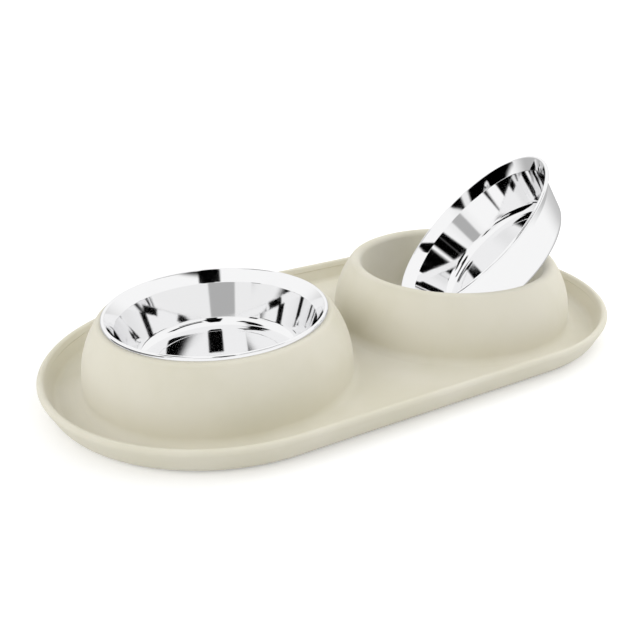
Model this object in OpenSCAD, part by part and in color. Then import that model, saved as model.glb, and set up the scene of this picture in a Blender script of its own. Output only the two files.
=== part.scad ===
// Double pet bowl: a moulded tray with two raised holders and two loose steel bowls.
// Millimetres, +Z up, +X along the tray, origin on the ground under the middle of the tray.

/* [Bowls] */
// Outer diameter of a bowl over its rolled rim
bowl_d = 140; // [125:1:160]
// Depth of a bowl, from the top of the rim to its underside
bowl_depth = 37; // [30:1:50]
// Thickness of the steel sheet
bowl_t = 0.6; // [0.5:0.1:0.9]
// Diameter of the roll along the rim
curl_d = 2.6; // [2.4:0.2:4]
// How far in from the rim the wall turns out into the flare
flare_w = 6.8; // [5:0.1:8]
// How far below the rim the wall turns out into the flare
flare_h = 8.5; // [4:0.5:10]
// Bend radius where the wall turns out
shoulder_r = 2; // [1:0.5:3]
// Diameter of the flat underside
base_d = 96; // [88:1:106]
// Outer radius of the corner between the wall and the underside
corner_r = 8.4; // [4:0.2:10]
// Diameter of the step stamped in the underside
step_d = 82; // [70:1:85]
// Height of the stamped step
step_h = 0.8; // [0.4:0.1:1.2]
// Bend radius of the stamped step
step_r = 2; // [1.5:0.5:3]

/* [Holders] */
// Wall of the moulding
wall_t = 3.5; // [2.5:0.5:4.5]
// Air under a seated bowl
under_gap = 9; // [5:0.5:15]
// Outer radius of the rounded crest that carries a rim
crest_r = 4.5; // [4:0.5:6]
// How far the crest's highest line lies outside the rim
crest_out = 0.5; // [0:0.25:1.5]
// How far the foot of a holder spreads past the crest's highest line
foot_spread = 15.5; // [12:0.5:20]
// Radius of the fillet at the foot of a holder
foot_fillet = 5.4; // [3:0.2:7]
// Draft of the wall inside a holder, in degrees
well_draft = 4; // [1:1:6]
// Radius of the fillet around the floor of a holder
well_fillet = 5; // [3:0.5:8]

/* [Tray] */
// Floor left between the feet of the two holders
holder_gap = 2.2; // [1:0.2:12]
// Flat floor between a holder's foot and the tray's rising wall
moat_w = 10.5; // [8:0.5:25]
// How far the centres of the round ends lie inside the bowl centres
end_inset = 2.4; // [0:0.2:4]
// Height of the tray's lip
lip_h = 17.5; // [14:0.5:26]
// Outward lean of the tray's wall, in degrees
wall_lean = 21; // [10:1:28]
// Radius of the fillet between the tray's floor and its wall
wall_fillet = 4.5; // [3:0.5:6]
// How far the lip's bead stands proud of the wall on each side
bead_proud = 0.55; // [0.3:0.05:0.8]
// Height of the bead's straight sides, under its round top
bead_side = 2.6; // [1.5:0.1:4]

/* [Leaning bowl] */
// Tilt of the bowl that is lifted out, in degrees
lean = 47.5; // [40:0.5:55]
// Direction that its mouth faces, in degrees round from +X
lean_dir = 152.5; // [140:0.5:165]
// How far its rim's centre lies from the middle of its holder
lean_shift = 11.6; // [6:0.2:14]

/* [Fit] */
// Running gap between a bowl and what carries it
seat_gap = 0.3; // [0.2:0.05:0.5]

/* [Hidden] */
$fn = 128;
// Angle between points along a bend
bend_step = 7.5;
// Part of a turn that the rim's roll takes
curl_sweep = 255;
// Angle between the places round the leaning bowl where its gap is worked out
lean_step = 1.5;

bowl_r = bowl_d / 2;
base_r = base_d / 2;
curl_r = curl_d / 2;
half_t = bowl_t / 2;
// Middle of the rim's roll, in the bowl's own frame
curl_c = [bowl_r - curl_r, bowl_depth - curl_r];
// Corner of the shoulder, where the wall's line meets the flare's line
shoulder = [bowl_r - flare_w, bowl_depth - flare_h];

half_w = wall_t / 2;
// The crest lies just outside the rim, or further out where the bowl's lower corner needs the room
corner_room = base_r + corner_r + seat_gap + (bowl_depth - corner_r) * tan(well_draft) + crest_r;
crest_x = max(bowl_r + crest_out, corner_room);
rim_z = wall_t + under_gap + bowl_depth;
// The roll rests on the crest: their centres lie one running gap more than their radii apart
seat_reach = crest_r + curl_r + seat_gap;
crest_z = rim_z - curl_r - sqrt(pow(seat_reach, 2) - pow(crest_x - curl_c[0], 2));
foot_x = crest_x + foot_spread;
foot_z = wall_t + foot_fillet;
crease_x = foot_x + foot_fillet;
// The flank is one arc, upright at the foot and running smoothly into the crest
flank_rise = crest_z - foot_z;
flank_r = (pow(foot_spread, 2) + pow(flank_rise, 2) - pow(crest_r, 2)) / (2 * (foot_spread - crest_r));
flank_turn = atan2(flank_rise, flank_r - foot_spread);

spacing = 2 * crease_x + holder_gap;
bead_r = half_w + bead_proud;
wall_top = lip_h - bead_r;
wall_bend = wall_fillet + half_w;
floor_x = crease_x + moat_w;
wall_x = floor_x + wall_bend * tan((90 - wall_lean) / 2);
bead_x = wall_x + (wall_top - half_w) * tan(wall_lean);
end_x = spacing / 2 - end_inset;

// A path is a list of [x, z, angle of the normal], and sheet() gives it a thickness
function arc(c, r, from, to, flip = 0) =
    let (n = max(1, ceil(abs(to - from) / bend_step)))
    [for (i = [0:n]) let (a = from + (to - from) * i / n) [c[0] + r * cos(a), c[1] + r * sin(a), a + flip]];

function side(path, d) = [for (p = path) [p[0] + d * cos(p[2]), p[1] + d * sin(p[2])]];

function turned(list) = [for (i = [len(list) - 1:-1:0]) list[i]];

function sheet(path, t) = concat(side(path, t / 2), turned(side(path, -t / 2)));

// Heading of the line that leaves a point and just touches a circle
function heading(p, c, r) = atan2(c[1] - p[1], c[0] - p[0]) + asin(r / norm(c - p));

// Sheet of a bowl, from its middle out over the stamped step, the corner and the shoulder to the roll
function bowl_path() =
    let (
        step_turn = acos(1 - step_h / (2 * step_r)),
        step_x = step_d / 2,
        step_run = step_r * sin(step_turn),
        corner_c = [base_r, corner_r],
        wall_a = heading(shoulder, corner_c, corner_r - half_t) + 270,
        flare_a = heading(shoulder, curl_c, curl_r - half_t) + 90,
        // The shoulder bends out, or in where the wall spreads more than the flare
        bend_side = wall_a > flare_a ? 0 : 180,
        bisector = (wall_a + flare_a) / 2 + 180 + bend_side,
        reach = shoulder_r / cos((wall_a - flare_a) / 2),
        shoulder_c = shoulder + reach * [cos(bisector), sin(bisector)]
    )
    concat(
        [[0, half_t + step_h, 90]],
        arc([step_x - step_run, half_t + step_h - step_r], step_r, 90, 90 - step_turn),
        arc([step_x + step_run, half_t + step_r], step_r, 270 - step_turn, 270, 180),
        arc(corner_c, corner_r - half_t, 270, wall_a + 180, 180),
        arc(shoulder_c, shoulder_r, wall_a + bend_side, flare_a + bend_side, bend_side),
        arc(curl_c, curl_r - half_t, flare_a, flare_a - curl_sweep)
    );

// Sheet of a holder, from the tray's floor up the flank, over the crest and down into the well
function holder_path() =
    let (
        crest_c = [crest_x, crest_z],
        well_bend = well_fillet + half_w,
        wall_p = crest_c + (crest_r - half_w) * [-cos(well_draft), sin(well_draft)],
        well_z = wall_t + well_fillet,
        well_x = wall_p[0] + ((well_z - wall_p[1]) * sin(well_draft) - well_bend) / cos(well_draft)
    )
    concat(
        arc([crease_x, foot_z], foot_fillet + half_w, 270, 180, -180),
        arc([foot_x - flank_r, foot_z], flank_r - half_w, 0, flank_turn),
        arc(crest_c, crest_r - half_w, flank_turn, 180 - well_draft),
        arc([well_x, well_z], well_bend, -well_draft, -90, 180),
        [[0, half_w, 90]]
    );

// Room between a point in the holder and the line that the crest and the wall below it lie around
function crest_room(r, z) =
    z > crest_z ? norm([r - crest_x, z - crest_z])
    : (crest_x - r) * cos(well_draft) - (crest_z - z) * sin(well_draft);

// Least gap between the leaning bowl and its holder, with its rim's centre at a height
function lean_gap(z) =
    min([
        for (p = bowl_path(), a = [0:lean_step:180])
            let (
                along = p[0] * cos(a) * cos(lean) - (bowl_depth - p[1]) * sin(lean) - lean_shift,
                up = z - p[0] * cos(a) * sin(lean) - (bowl_depth - p[1]) * cos(lean)
            )
            crest_room(norm([along, p[0] * sin(a)]), up)
    ]) - crest_r - half_t;

// Lowest height between two at which the leaning bowl still clears its holder
function held_z(low, high, tries = 12) =
    tries == 0 ? high
    : let (mid = (low + high) / 2)
        lean_gap(mid) < seat_gap ? held_z(mid, high, tries - 1) : held_z(low, mid, tries - 1);

// Its lower corner stands one running gap over the floor, or higher where its sides meet the crest first
low_z = wall_t + seat_gap + corner_r + (bowl_depth - corner_r) * cos(lean) + base_r * sin(lean);
lean_z = lean_gap(low_z) < seat_gap ? held_z(low_z, low_z + bowl_depth) : low_z;

// Sheet of the tray's wall, from the floor out and up to the foot of the bead
function wall_path() =
    concat(
        [[floor_x - moat_w / 2, half_w, 90]],
        arc([floor_x, wall_t + wall_fillet], wall_bend, 270, 360 - wall_lean, 180),
        [[bead_x - bead_side * sin(wall_lean), wall_top - bead_side * cos(wall_lean), 180 - wall_lean]]
    );

// Outline of the tray's wall with the round-topped bead along its edge
function wall_outline() =
    let (path = wall_path(), foot = path[len(path) - 1])
    concat(
        side(path, -half_w),
        side([foot], -bead_r),
        side(arc([bead_x, wall_top], bead_r, -wall_lean, 180 - wall_lean), 0),
        side([foot], bead_r),
        turned(side(path, half_w))
    );

// Carries a section round the tray: straight along both sides and half a turn at each end
module round_tray() {
    for (s = [0, 180])
        rotate(s) {
            translate([end_x, 0, 0])
                rotate(-90)
                    rotate_extrude(angle = 180)
                        children();
            translate([end_x, 0, 0])
                rotate([90, 0, -90])
                    linear_extrude(2 * end_x)
                        mirror([1, 0])
                            children();
        }
}

// Flat floor of the tray, open where the two holders rise
module tray_floor() {
    linear_extrude(wall_t)
        difference() {
            union() {
                for (s = [-1, 1])
                    translate([s * end_x, 0])
                        circle(floor_x);
                translate([-end_x, -floor_x])
                    square([2 * end_x, 2 * floor_x]);
            }
            for (s = [-1, 1])
                translate([s * spacing / 2, 0])
                    circle(crease_x);
        }
}

module holder() {
    rotate_extrude()
        polygon(sheet(holder_path(), wall_t));
}

module base() {
    color([0.83, 0.81, 0.73]) {
        round_tray()
            polygon(wall_outline());
        tray_floor();
        for (s = [-1, 1])
            translate([s * spacing / 2, 0, 0])
                holder();
    }
}

// One pressed bowl, standing on its own underside
module bowl() {
    color("silver")
        rotate_extrude()
            polygon(sheet(bowl_path(), bowl_t));
}

// Hangs in its holder by the roll of its rim
module left_bowl() {
    translate([-spacing / 2, 0, rim_z - bowl_depth])
        bowl();
}

// Lifted out and leaning in its holder, with its lower corner on the holder's floor
module right_bowl() {
    translate([spacing / 2 - lean_shift * cos(lean_dir), -lean_shift * sin(lean_dir), lean_z])
        rotate([0, lean, lean_dir])
            translate([0, 0, -bowl_depth])
                bowl();
}

base();
left_bowl();
right_bowl();
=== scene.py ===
from math import acos, asin, atan2, ceil, cos, degrees, hypot, pi, radians, sin, sqrt, tan

import bmesh
import bpy
from mathutils import Matrix, Vector


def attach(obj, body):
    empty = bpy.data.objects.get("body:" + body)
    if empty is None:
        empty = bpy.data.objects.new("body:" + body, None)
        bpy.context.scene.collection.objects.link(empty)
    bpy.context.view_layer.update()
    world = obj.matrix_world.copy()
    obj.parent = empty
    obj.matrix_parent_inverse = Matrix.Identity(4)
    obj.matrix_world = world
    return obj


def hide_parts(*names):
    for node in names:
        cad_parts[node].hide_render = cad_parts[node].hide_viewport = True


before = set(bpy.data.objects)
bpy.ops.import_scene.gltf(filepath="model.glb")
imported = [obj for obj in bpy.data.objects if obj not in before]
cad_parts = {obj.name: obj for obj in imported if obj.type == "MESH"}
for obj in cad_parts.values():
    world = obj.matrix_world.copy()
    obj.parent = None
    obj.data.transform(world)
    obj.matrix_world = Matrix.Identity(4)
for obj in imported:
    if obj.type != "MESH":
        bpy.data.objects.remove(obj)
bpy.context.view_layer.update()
print("frame loaded:", ", ".join(sorted(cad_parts)))


# A small wrapper: sums on a socket add Math nodes, and node() adds any other node

class Field:
    def __init__(self, tree, socket=None):
        self.tree = tree
        self.socket = socket

    def node(self, kind, settings=None, values=None, out=0):
        made = self.tree.nodes.new(kind)
        for name, value in (settings or {}).items():
            setattr(made, name, value)
        for key, value in (values or {}).items():
            if isinstance(value, Field):
                self.tree.links.new(value.socket, made.inputs[key])
            else:
                made.inputs[key].default_value = value
        return Field(self.tree, made.outputs[out])

    def math(self, operation, *terms):
        return self.node("ShaderNodeMath", {"operation": operation}, dict(enumerate(terms)))

    def __add__(self, other):
        return self.math("ADD", self, other)

    def __radd__(self, other):
        return self.math("ADD", other, self)

    def __sub__(self, other):
        return self.math("SUBTRACT", self, other)

    def __rsub__(self, other):
        return self.math("SUBTRACT", other, self)

    def __mul__(self, other):
        return self.math("MULTIPLY", self, other)

    def __rmul__(self, other):
        return self.math("MULTIPLY", other, self)

    def __truediv__(self, other):
        return self.math("DIVIDE", self, other)

    def step(self, low, high):
        return self.node(
            "ShaderNodeMapRange",
            {"interpolation_type": "SMOOTHSTEP"},
            {"Value": self, "From Min": low, "From Max": high},
        )

    def noise(self, at, scale, detail=2.0, roughness=0.5):
        return self.node(
            "ShaderNodeTexNoise",
            None,
            {"Vector": at, "Scale": scale, "Detail": detail, "Roughness": roughness},
        )

    def mixColour(self, share, first, second):
        values = {"Factor": share, "A": first, "B": second}
        mixed = self.tree.nodes.new("ShaderNodeMix")
        mixed.data_type = "RGBA"
        places = {"Factor": mixed.inputs[0], "A": mixed.inputs[6], "B": mixed.inputs[7]}
        for key, value in values.items():
            if isinstance(value, Field):
                self.tree.links.new(value.socket, places[key])
            else:
                places[key].default_value = value if key == "Factor" else (*value, 1)
        return Field(self.tree, mixed.outputs[2])


def newMaterial(name):
    material = bpy.data.materials.new(name)
    material.use_nodes = True
    tree = material.node_tree
    tree.nodes.clear()
    shader = tree.nodes.new("ShaderNodeBsdfPrincipled")
    output = tree.nodes.new("ShaderNodeOutputMaterial")
    tree.links.new(shader.outputs[0], output.inputs[0])
    return material, Field(tree), shader


# Colours are picked in sRGB, as seen on screen
def fromScreen(*levels):
    return tuple((v / 255 / 12.92) if v < 11 else ((v / 255 + 0.055) / 1.055) ** 2.4 for v in levels)


# Profiles: a path is a list of (x, z, angle of the normal), and side() steps off it

def arc(centre, r, start, end, flip=0, stepAngle=3.0):
    count = ceil(abs(end - start) / stepAngle)
    turns = [start + (end - start) * i / count for i in range(count + 1)]
    return [(centre[0] + r * cos(radians(a)), centre[1] + r * sin(radians(a)), a + flip) for a in turns]


def side(path, d):
    return [(x + d * cos(radians(a)), z + d * sin(radians(a))) for x, z, a in path]


def heading(p, c, r):
    dx, dz = c[0] - p[0], c[1] - p[1]
    return degrees(atan2(dz, dx) + asin(r / hypot(dx, dz)))


bowl = {
    "rimDiameter": 0.140,
    "depth": 0.037,
    "sheet": 0.0006,
    "curlDiameter": 0.0026,
    "flareIn": 0.0068,
    "flareDown": 0.0085,
    "shoulderBend": 0.002,
    "baseDiameter": 0.096,
    "cornerBend": 0.0084,
    "stepDiameter": 0.082,
    "stepHeight": 0.0008,
    "stepBend": 0.002,
    "curlSweep": 255,
    "segments": 240,
}

holder = {
    "wall": 0.0035,
    "underBowl": 0.009,
    "crest": 0.0045,
    "crestOut": 0.0005,
    "footSpread": 0.0155,
    "footFillet": 0.0054,
    "wellDraft": 4,
    "wellFillet": 0.005,
    "seatGap": 0.0003,
    "segments": 240,
}

tray = {
    "holderGap": 0.0022,
    "moat": 0.0105,
    "endInset": 0.0024,
    "lip": 0.0175,
    "wallLean": 21,
    "wallFillet": 0.0045,
    "beadProud": 0.00055,
    "beadSide": 0.0026,
    "partingDepth": 0.00035,
    "partingWidth": 0.0005,
    "segments": 240,
}

leaning = {
    "tilt": 47.5,
    "direction": 152.5,
    "shift": 0.0116,
}

bowlRadius = bowl["rimDiameter"] / 2
baseRadius = bowl["baseDiameter"] / 2
curlRadius = bowl["curlDiameter"] / 2
halfSheet = bowl["sheet"] / 2
curlCentre = (bowlRadius - curlRadius, bowl["depth"] - curlRadius)
halfWall = holder["wall"] / 2
crestX = bowlRadius + holder["crestOut"]
rimHeight = holder["wall"] + holder["underBowl"] + bowl["depth"]
seatReach = holder["crest"] + curlRadius + holder["seatGap"]
crestZ = rimHeight - curlRadius - sqrt(seatReach**2 - (crestX - curlCentre[0]) ** 2)
footX = crestX + holder["footSpread"]
footZ = holder["wall"] + holder["footFillet"]
creaseX = footX + holder["footFillet"]
halfSpacing = creaseX + tray["holderGap"] / 2
endX = halfSpacing - tray["endInset"]
floorX = creaseX + tray["moat"]


def bowlPath():
    shoulder = (bowlRadius - bowl["flareIn"], bowl["depth"] - bowl["flareDown"])
    stepTurn = degrees(acos(1 - bowl["stepHeight"] / (2 * bowl["stepBend"])))
    stepX, bend = bowl["stepDiameter"] / 2, bowl["stepBend"]
    stepRun = bend * sin(radians(stepTurn))
    corner = (baseRadius, bowl["cornerBend"])
    wallAngle = heading(shoulder, corner, bowl["cornerBend"] - halfSheet) + 270
    flareAngle = heading(shoulder, curlCentre, curlRadius - halfSheet) + 90
    bisector = radians((wallAngle + flareAngle) / 2 + 180)
    reach = bowl["shoulderBend"] / cos(radians((wallAngle - flareAngle) / 2))
    shoulderCentre = (shoulder[0] + reach * cos(bisector), shoulder[1] + reach * sin(bisector))
    stepZ = halfSheet + bowl["stepHeight"]
    return (
        [(0, stepZ, 90)]
        + arc((stepX - stepRun, stepZ - bend), bend, 90, 90 - stepTurn)
        + arc((stepX + stepRun, halfSheet + bend), bend, 270 - stepTurn, 270, 180)
        + arc(corner, bowl["cornerBend"] - halfSheet, 270, wallAngle + 180, 180)
        + arc(shoulderCentre, bowl["shoulderBend"], wallAngle, flareAngle)
        + arc(curlCentre, curlRadius - halfSheet, flareAngle, flareAngle - bowl["curlSweep"], stepAngle=7.5)
    )


def holderPath():
    spread, crest, draft = holder["footSpread"], holder["crest"], holder["wellDraft"]
    rise = crestZ - footZ
    flank = (spread**2 + rise**2 - crest**2) / (2 * (spread - crest))
    turn = degrees(atan2(rise, flank - spread))
    wellBend = holder["wellFillet"] + halfWall
    wallX = crestX - (crest - halfWall) * cos(radians(draft))
    wallZ = crestZ + (crest - halfWall) * sin(radians(draft))
    wellZ = holder["wall"] + holder["wellFillet"]
    wellX = wallX + ((wellZ - wallZ) * sin(radians(draft)) - wellBend) / cos(radians(draft))
    return (
        arc((creaseX, footZ), holder["footFillet"] + halfWall, 270, 180, -180, stepAngle=5)
        + arc((footX - flank, footZ), flank - halfWall, 0, turn, stepAngle=2.5)
        + arc((crestX, crestZ), crest - halfWall, turn, 180 - draft, stepAngle=5)
        + arc((wellX, wellZ), wellBend, -draft, -90, 180, stepAngle=5)
        + [(0, halfWall, 90)]
    )


# The tray's wall, with a round-topped bead and a fine parting groove under it
def wallOutline():
    lean = tray["wallLean"]
    bend = tray["wallFillet"] + halfWall
    beadRadius = halfWall + tray["beadProud"]
    topZ = tray["lip"] - beadRadius
    wallX = floorX + bend * tan(radians(90 - lean) / 2)
    beadX = wallX + (topZ - halfWall) * tan(radians(lean))
    along = (sin(radians(lean)), cos(radians(lean)))

    def down(d):
        return (beadX - d * along[0], topZ - d * along[1], 180 - lean)

    path = arc((floorX, holder["wall"] + tray["wallFillet"]), bend, 270, 360 - lean, 180)
    foot, groove = down(tray["beadSide"]), down(tray["beadSide"] + tray["partingWidth"])
    cut = halfWall - tray["partingDepth"]
    return (
        side(path, -halfWall)
        + side([groove], -halfWall)
        + side([groove], -cut)
        + side([foot], -cut)
        + side([foot], -beadRadius)
        + side(arc((beadX, topZ), beadRadius, -lean, 180 - lean, stepAngle=6), 0)
        + side([foot], beadRadius)
        + side([groove], halfWall)
        + side(path, halfWall)[::-1]
    )


def sheetOutline(path, thickness):
    return side(path, -thickness / 2) + side(path, thickness / 2)[::-1]


joining = {
    "within": 0.000002,
    "seamWithin": 0.000005,
    "sharpFrom": 40,
}


# Geometry nodes: turns an outline about Z, or round a long shape with two half turns and straight sides

def turningTree():
    tree = bpy.data.node_groups.new("turnOutline", "GeometryNodeTree")
    sockets = tree.interface
    sockets.new_socket("Outline", in_out="INPUT", socket_type="NodeSocketGeometry")
    sockets.new_socket("Segments", in_out="INPUT", socket_type="NodeSocketInt")
    sockets.new_socket("Half Length", in_out="INPUT", socket_type="NodeSocketFloat")
    sockets.new_socket("Finish", in_out="INPUT", socket_type="NodeSocketMaterial")
    sockets.new_socket("Form", in_out="OUTPUT", socket_type="NodeSocketGeometry")
    given = tree.nodes.new("NodeGroupInput")
    outline, segments, halfLength, finish = (Field(tree, given.outputs[i]) for i in range(4))
    f = Field(tree)

    # Each half turn has its own end columns, and the last column lies on the first
    rows = f.node("GeometryNodeAttributeDomainSize", {"component": "MESH"}, {0: outline})
    grid = f.node("GeometryNodeMeshGrid", None, {"Vertices X": segments + 3, "Vertices Y": rows})
    index = f.node("GeometryNodeInputIndex")
    row = f.math("MODULO", index, rows)
    column = f.math("FLOOR", (index + 0.5) / rows)
    farEnd = f.math("GREATER_THAN", column, segments / 2 + 0.5)
    lastEnd = f.math("GREATER_THAN", column, segments + 1.5)
    turn = (column - farEnd - lastEnd) / segments * (2 * pi) - pi / 2
    shift = halfLength * (1 - 2 * (farEnd - lastEnd))

    place = f.node("GeometryNodeInputPosition")
    picked = f.node(
        "GeometryNodeSampleIndex",
        {"data_type": "FLOAT_VECTOR", "domain": "POINT"},
        {"Geometry": outline, "Value": place, "Index": row},
    )
    split = tree.nodes.new("ShaderNodeSeparateXYZ")
    tree.links.new(picked.socket, split.inputs[0])
    reach, height = Field(tree, split.outputs[0]), Field(tree, split.outputs[2])
    x = shift + reach * f.math("COSINE", turn)
    y = reach * f.math("SINE", turn)
    turned = f.node("ShaderNodeCombineXYZ", None, {"X": x, "Y": y, "Z": height})
    formed = f.node("GeometryNodeSetPosition", None, {"Geometry": grid, "Position": turned})

    run = f.node("GeometryNodeInputNamedAttribute", {"data_type": "FLOAT"}, {"Name": "run"})
    pickedRun = f.node(
        "GeometryNodeSampleIndex",
        {"data_type": "FLOAT", "domain": "POINT"},
        {"Geometry": outline, "Value": run, "Index": row},
    )
    marked = f.node(
        "GeometryNodeStoreNamedAttribute",
        {"data_type": "FLOAT", "domain": "POINT"},
        {"Geometry": formed, "Name": "run", "Value": pickedRun},
    )
    closed = f.node("GeometryNodeMergeByDistance", None, {"Geometry": marked, "Distance": joining["within"]})
    smooth = f.node("GeometryNodeSetShadeSmooth", None, {"Geometry": closed})
    real = f.node("GeometryNodeRealizeInstances", None, {"Geometry": smooth})
    finished = f.node("GeometryNodeSetMaterial", None, {"Geometry": real, "Material": finish})
    result = tree.nodes.new("NodeGroupOutput")
    tree.links.new(finished.socket, result.inputs[0])
    return tree


turning = turningTree()


def setInput(modifier, name, value):
    for item in modifier.node_group.interface.items_tree:
        if item.item_type == "SOCKET" and item.in_out == "INPUT" and item.name == name:
            modifier[item.identifier] = value


# One closed form from an outline of (x, z) points; "run" is the way along the outline
def turnedMesh(name, outline, segments, halfLength, finish):
    mesh = bpy.data.meshes.new(name)
    count = len(outline)
    mesh.from_pydata([(x, 0, z) for x, z in outline], [(i, i + 1) for i in range(count - 1)], [])
    run = mesh.attributes.new("run", "FLOAT", "POINT")
    length = 0.0
    for i, (x, z) in enumerate(outline):
        if i:
            length += hypot(x - outline[i - 1][0], z - outline[i - 1][1])
        run.data[i].value = length
    carrier = bpy.data.objects.new(name, mesh)
    bpy.context.collection.objects.link(carrier)
    modifier = carrier.modifiers.new("turn", "NODES")
    modifier.node_group = turning
    setInput(modifier, "Segments", segments)
    setInput(modifier, "Half Length", halfLength)
    setInput(modifier, "Finish", finish)
    shown = carrier.evaluated_get(bpy.context.evaluated_depsgraph_get())
    result = bpy.data.meshes.new_from_object(shown)
    result.name = name
    bpy.data.objects.remove(carrier)
    bpy.data.meshes.remove(mesh)
    return result


def facingOut(mesh):
    work = bmesh.new()
    work.from_mesh(mesh)
    bmesh.ops.remove_doubles(work, verts=work.verts, dist=joining["within"])
    bmesh.ops.recalc_face_normals(work, faces=work.faces)
    work.to_mesh(mesh)
    work.free()


def addPiece(name, mesh, body, slot, *nodes):
    piece = bpy.data.objects.new(name, mesh)
    bpy.context.collection.objects.link(piece)
    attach(piece, body)
    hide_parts(*nodes)
    return piece


# Silicone: dense matt cream, a slight orange peel and faint handling marks

silicone = {
    "light": fromScreen(222, 218, 203),
    "deep": fromScreen(216, 212, 194),
    "cloudScale": 14.0,
    "cloudSpan": (0.35, 0.65),
    "grainScale": 1500.0,
    "peelScale": 420.0,
    "peelHeight": 0.00006,
    "peelStrength": 0.5,
    "grainShare": 0.35,
    "roughness": 0.52,
    "handling": 0.10,
    "markScale": 42.0,
    "markSpan": (0.45, 0.7),
    "grainRoughness": 0.06,
    "softness": 0.05,
    "glowDepth": (0.004, 0.0035, 0.0025),
    "ior": 1.41,
    "sheen": 0.3,
}


def siliconeFinish():
    material, f, shader = newMaterial("creamSilicone")
    at = f.node("ShaderNodeTexCoord", out="Object")
    cloud = f.noise(at, silicone["cloudScale"], detail=4.0, roughness=0.55)
    colour = f.mixColour(cloud.step(*silicone["cloudSpan"]), silicone["deep"], silicone["light"])
    grain = f.noise(at, silicone["grainScale"], detail=1.0)
    peel = f.noise(at, silicone["peelScale"], detail=3.0, roughness=0.6)
    marks = f.noise(at, silicone["markScale"], detail=5.0, roughness=0.65).step(*silicone["markSpan"])
    rough = silicone["roughness"] + marks * silicone["handling"] + (grain - 0.5) * silicone["grainRoughness"]
    relief = peel + grain * silicone["grainShare"]
    bump = f.node(
        "ShaderNodeBump",
        None,
        {"Height": relief, "Distance": silicone["peelHeight"], "Strength": silicone["peelStrength"]},
    )
    f.tree.links.new(colour.socket, shader.inputs["Base Color"])
    f.tree.links.new(rough.socket, shader.inputs["Roughness"])
    f.tree.links.new(bump.socket, shader.inputs["Normal"])
    shader.inputs["IOR"].default_value = silicone["ior"]
    shader.inputs["Specular IOR Level"].default_value = silicone["sheen"]
    shader.inputs["Subsurface Weight"].default_value = silicone["softness"]
    shader.inputs["Subsurface Radius"].default_value = silicone["glowDepth"]
    shader.inputs["Subsurface Scale"].default_value = 1.0
    return material


# Polished steel: turned polishing rings along the sheet and a slight waviness from pressing

steel = {
    "colour": (0.93, 0.93, 0.935),
    "roughness": 0.035,
    "ringScale": 5200.0,
    "ringHeight": 0.0000025,
    "waveScale": 26.0,
    "waveHeight": 0.00006,
    "hazeScale": 60.0,
    "hazeSpan": (0.45, 0.8),
    "haze": 0.03,
    "ringRoughness": 0.02,
    "ringShade": 0.97,
}


def steelFinish():
    material, f, shader = newMaterial("polishedSteel")
    at = f.node("ShaderNodeTexCoord", out="Object")
    run = f.node("ShaderNodeAttribute", {"attribute_name": "run"}, out="Fac")
    ringAt = f.node("ShaderNodeCombineXYZ", None, {"X": run * steel["ringScale"]})
    rings = f.noise(ringAt, 1.0, roughness=0.7)
    wave = f.noise(at, steel["waveScale"], detail=1.0)
    haze = f.noise(at, steel["hazeScale"], detail=4.0, roughness=0.6)
    hazy = haze.step(*steel["hazeSpan"])
    rough = steel["roughness"] + hazy * steel["haze"] + rings * steel["ringRoughness"]
    relief = rings * (steel["ringHeight"] / steel["waveHeight"]) + wave
    bump = f.node(
        "ShaderNodeBump", None, {"Height": relief, "Distance": steel["waveHeight"], "Strength": 1.0}
    )
    f.tree.links.new(rough.socket, shader.inputs["Roughness"])
    f.tree.links.new(bump.socket, shader.inputs["Normal"])
    tone = f.mixColour(rings, steel["colour"], tuple(steel["ringShade"] * v for v in steel["colour"]))
    f.tree.links.new(tone.socket, shader.inputs["Base Color"])
    shader.inputs["Metallic"].default_value = 1.0
    return material


creamSilicone = siliconeFinish()
polishedSteel = steelFinish()
print("finishes made")


# The two bowls: one outline, turned once and placed twice

def bowlMesh(name, place):
    outline = sheetOutline(bowlPath(), bowl["sheet"])
    mesh = turnedMesh(name, outline, bowl["segments"], 0.0, polishedSteel)
    facingOut(mesh)
    mesh.transform(place)
    mesh.set_sharp_from_angle(angle=radians(joining["sharpFrom"]))
    return mesh


seated = Matrix.Translation((-halfSpacing, 0, rimHeight - bowl["depth"]))
leanAngle = radians(leaning["tilt"])
rimCentre = Vector((
    halfSpacing - leaning["shift"] * cos(radians(leaning["direction"])),
    -leaning["shift"] * sin(radians(leaning["direction"])),
    holder["wall"] + holder["seatGap"] + bowl["cornerBend"]
    + (bowl["depth"] - bowl["cornerBend"]) * cos(leanAngle) + baseRadius * sin(leanAngle),
))
tipped = (
    Matrix.Translation(rimCentre)
    @ Matrix.Rotation(radians(leaning["direction"]), 4, "Z")
    @ Matrix.Rotation(leanAngle, 4, "Y")
    @ Matrix.Translation((0, 0, -bowl["depth"]))
)
addPiece("leftBowl", bowlMesh("leftBowl", seated), "left_bowl", "polished_steel", "left_bowl")
addPiece("rightBowl", bowlMesh("rightBowl", tipped), "right_bowl", "polished_steel", "right_bowl")
print("bowls made")


# The base: two turned holders, the wall carried round the tray, and the flat floor between them

def ringEdges(work, centreX, r, z, halfLength, segments):
    half = segments // 2
    verts = []
    for k in range(segments + (2 if halfLength else 0)):
        late = 1 if halfLength and k > half else 0
        turn = (k - late) / segments * 2 * pi - pi / 2
        x = centreX + halfLength * (1 - 2 * late) + r * cos(turn)
        verts.append(work.verts.new((x, r * sin(turn), z)))
    return [work.edges.new((verts[i], verts[(i + 1) % len(verts)])) for i in range(len(verts))]


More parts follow.
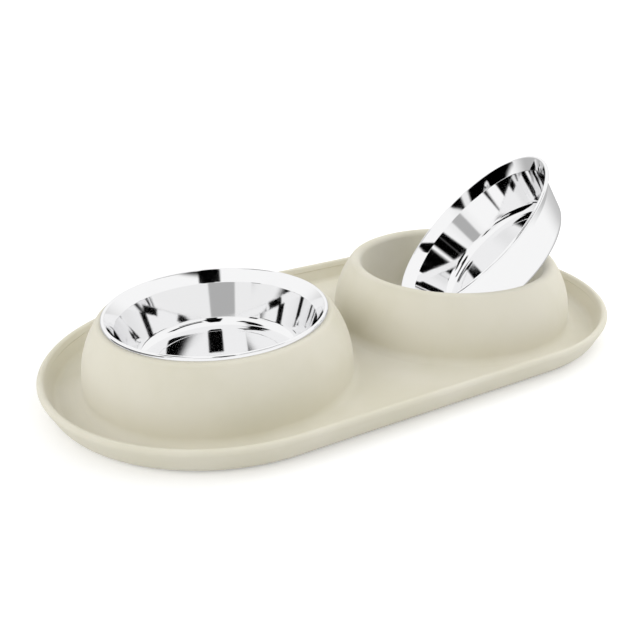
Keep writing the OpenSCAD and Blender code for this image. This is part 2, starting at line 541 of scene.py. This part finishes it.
def baseMesh():
    work = bmesh.new()
    holderForm = turnedMesh(
        "holderForm", sheetOutline(holderPath(), holder["wall"]), holder["segments"], 0.0, creamSilicone
    )
    for sign in (-1, 1):
        moved = holderForm.copy()
        moved.transform(Matrix.Translation((sign * halfSpacing, 0, 0)))
        work.from_mesh(moved)
        bpy.data.meshes.remove(moved)
    bpy.data.meshes.remove(holderForm)
    wallForm = turnedMesh("wallForm", wallOutline(), tray["segments"], endX, creamSilicone)
    work.from_mesh(wallForm)
    bpy.data.meshes.remove(wallForm)
    for z in (0.0, holder["wall"]):
        edges = ringEdges(work, 0.0, floorX, z, endX, tray["segments"])
        for sign in (-1, 1):
            edges += ringEdges(work, sign * halfSpacing, creaseX, z, 0.0, holder["segments"])
        filled = bmesh.ops.triangle_fill(work, edges=edges, use_beauty=True, use_dissolve=False)
        for face in filled["geom"]:
            if isinstance(face, bmesh.types.BMFace):
                face.smooth = False
    bmesh.ops.remove_doubles(work, verts=work.verts, dist=joining["seamWithin"])
    bmesh.ops.recalc_face_normals(work, faces=work.faces)
    bmesh.ops.delete(work, geom=[edge for edge in work.edges if not edge.link_faces], context="EDGES")
    print("open edges on the base:", sum(len(edge.link_faces) != 2 for edge in work.edges))
    mesh = bpy.data.meshes.new("base")
    work.to_mesh(mesh)
    work.free()
    mesh.materials.append(creamSilicone)
    mesh.set_sharp_from_angle(angle=radians(joining["sharpFrom"]))
    return mesh


# The steel mirrors the studio and not the base, as nearly all of it does in the photo
base = addPiece("siliconeBase", baseMesh(), "base", "silicone", "base")
base.visible_glossy = False
print("base made")


# Stage: a pale floor that stays white to the lens and keeps the shadow

stage = {
    "floorSize": 80.0,
    "floorColour": (0.88, 0.88, 0.88),
    "floorRoughness": 0.9,
    "floorLift": 0.22,
    "whiteFrom": 0.45,
    "whiteAt": 1.3,
}


def addFloor():
    half = stage["floorSize"] / 2
    mesh = bpy.data.meshes.new("floor")
    corners = [(-half, -half, 0), (half, -half, 0), (half, half, 0), (-half, half, 0)]
    mesh.from_pydata(corners, [], [(0, 1, 2, 3)])
    floor = bpy.data.objects.new("floor", mesh)
    bpy.context.collection.objects.link(floor)
    floor.visible_glossy = False
    material, f, shader = newMaterial("paleFloor")
    shader.inputs["Base Color"].default_value = (*stage["floorColour"], 1)
    shader.inputs["Roughness"].default_value = stage["floorRoughness"]
    shader.inputs["Specular IOR Level"].default_value = 0.0
    rays = f.tree.nodes.new("ShaderNodeLightPath")
    camera = Field(f.tree, rays.outputs["Is Camera Ray"])
    at = f.node("ShaderNodeTexCoord", out="Object")
    away = f.node("ShaderNodeVectorMath", {"operation": "LENGTH"}, {0: at}, out="Value")
    far = away.step(stage["whiteFrom"], stage["whiteAt"])
    glow = camera * (stage["floorLift"] + far * (1 - stage["floorLift"]))
    colour = f.node("ShaderNodeCombineColor", None, {0: glow, 1: glow, 2: glow})
    f.tree.links.new(colour.socket, shader.inputs["Emission Color"])
    shader.inputs["Emission Strength"].default_value = 1.0
    mesh.materials.append(material)


addFloor()


# The studio is white all round, and its grey walls and black flags show in the steel alone.
# Each stands at an azimuth to the right of the lens's side, between two elevations, in degrees.

studio = {
    "light": 0.71,
    "front": -29,
    "edge": 1.5,
    "flags": {
        "backdrop": {"azimuth": 180, "halfWidth": 62, "low": -48, "high": 2, "level": 0.5, "edge": 16},
        "frontWall": {"azimuth": 10, "halfWidth": 80, "low": 4, "high": 26, "level": 0.9, "edge": 8},
        "doorway": {"azimuth": 14, "halfWidth": 14, "low": 38, "high": 75, "level": 0.0},
        "post": {"azimuth": 16, "halfWidth": 8, "low": 25, "high": 39, "level": 0.0},
        "arm": {"azimuth": 70, "halfWidth": 35, "low": 50, "high": 59, "level": 0.0},
        "greyPanel": {"azimuth": 0, "halfWidth": 16, "low": 8, "high": 20, "level": 0.45},
        "stand": {"azimuth": -43, "halfWidth": 6, "low": 15, "high": 27, "level": 0.0},
        "tableEdge": {"azimuth": -77, "halfWidth": 33, "low": -24, "high": 8, "level": 0.0},
        "underTable": {"azimuth": -85, "halfWidth": 22, "low": -46, "high": -31, "level": 0.0},
        "ceilingBar": {"azimuth": -88, "halfWidth": 44, "low": 60, "high": 71, "level": 0.0},
        "shelf": {"azimuth": 45, "halfWidth": 27, "low": 43, "high": 47, "level": 0.0},
    },
}


def addWorld():
    world = bpy.data.worlds.new("studio")
    bpy.context.scene.world = world
    world.use_nodes = True
    tree = world.node_tree
    tree.nodes.clear()
    f = Field(tree)
    split = tree.nodes.new("ShaderNodeSeparateXYZ")
    tree.links.new(f.node("ShaderNodeTexCoord").socket, split.inputs[0])
    x, y, z = (Field(tree, split.outputs[i]) for i in range(3))
    turn = f.math("ARCTAN2", x, 0 - y) * (180 / pi) - studio["front"]
    rise = f.math("ARCSINE", z) * (180 / pi)
    shade = 1.0
    for flag in studio["flags"].values():
        edge = flag.get("edge", studio["edge"])
        aside = f.math("ABSOLUTE", f.math("WRAP", turn - flag["azimuth"], 180.0, -180.0))
        across = aside.step(flag["halfWidth"] + edge, flag["halfWidth"] - edge)
        above = rise.step(flag["low"] - edge, flag["low"] + edge)
        below = rise.step(flag["high"] + edge, flag["high"] - edge)
        shade = shade + across * above * below * (flag["level"] - shade)
    rays = tree.nodes.new("ShaderNodeLightPath")
    camera = Field(tree, rays.outputs["Is Camera Ray"])
    glossy = Field(tree, rays.outputs["Is Glossy Ray"])
    through = Field(tree, rays.outputs["Is Transmission Ray"])
    light = studio["light"]
    strength = light + (camera + through) * (1 - light) + glossy * (shade - light)
    sky = f.node("ShaderNodeBackground", None, {"Color": (1, 1, 1, 1), "Strength": strength})
    output = tree.nodes.new("ShaderNodeOutputWorld")
    tree.links.new(sky.socket, output.inputs[0])


addWorld()

lamps = {
    "left": {"at": (-1.5, 0.0, 0.9), "size": 1.2, "power": 9.0},
    "right": {"at": (1.4, 0.3, 0.8), "size": 1.2, "power": 8.5},
    "front": {"at": (1.2, -0.8, 0.7), "size": 1.2, "power": 4.5},
    "top": {"at": (0.1, 0.3, 1.9), "size": 1.6, "power": 3.0},
}


def addLamp(name, values):
    light = bpy.data.lights.new(name, "AREA")
    light.shape = "SQUARE"
    light.size = values["size"]
    light.energy = values["power"]
    lamp = bpy.data.objects.new(name, light)
    bpy.context.collection.objects.link(lamp)
    lamp.visible_glossy = False
    place = Vector(values["at"])
    aim = (-place).to_track_quat("-Z", "Y").to_matrix().to_4x4()
    lamp.matrix_world = Matrix.Translation(place) @ aim


for lampName, values in lamps.items():
    addLamp(lampName, values)
print("stage and lamps made")


# Camera: fitted to the outlines of the photograph

camera = {
    "azimuth": -0.50611,
    "elevation": 0.4231,
    "roll": -0.01773,
    "at": (-0.24124, -0.40179, 0.22941),
    "focalPixels": 739.2,
    "imageWidth": 640,
    "sensor": 36.0,
    "nearest": 0.01,
    "furthest": 60.0,
}


def addCamera():
    lens = bpy.data.cameras.new("camera")
    lens.sensor_width = camera["sensor"]
    lens.lens = camera["focalPixels"] / camera["imageWidth"] * camera["sensor"]
    lens.clip_start = camera["nearest"]
    lens.clip_end = camera["furthest"]
    az, el, roll = camera["azimuth"], camera["elevation"], camera["roll"]
    back = Vector((sin(az) * cos(el), -cos(az) * cos(el), sin(el)))
    right = Vector((cos(az), sin(az), 0))
    up = back.cross(right)
    rolledRight = cos(roll) * right + sin(roll) * up
    rolledUp = back.cross(rolledRight)
    seat = Matrix((rolledRight, rolledUp, back)).transposed().to_4x4()
    eye = bpy.data.objects.new("camera", lens)
    bpy.context.collection.objects.link(eye)
    eye.matrix_world = Matrix.Translation(camera["at"]) @ seat
    bpy.context.scene.camera = eye


addCamera()
bpy.context.scene.view_settings.view_transform = "Standard"
print("camera made")
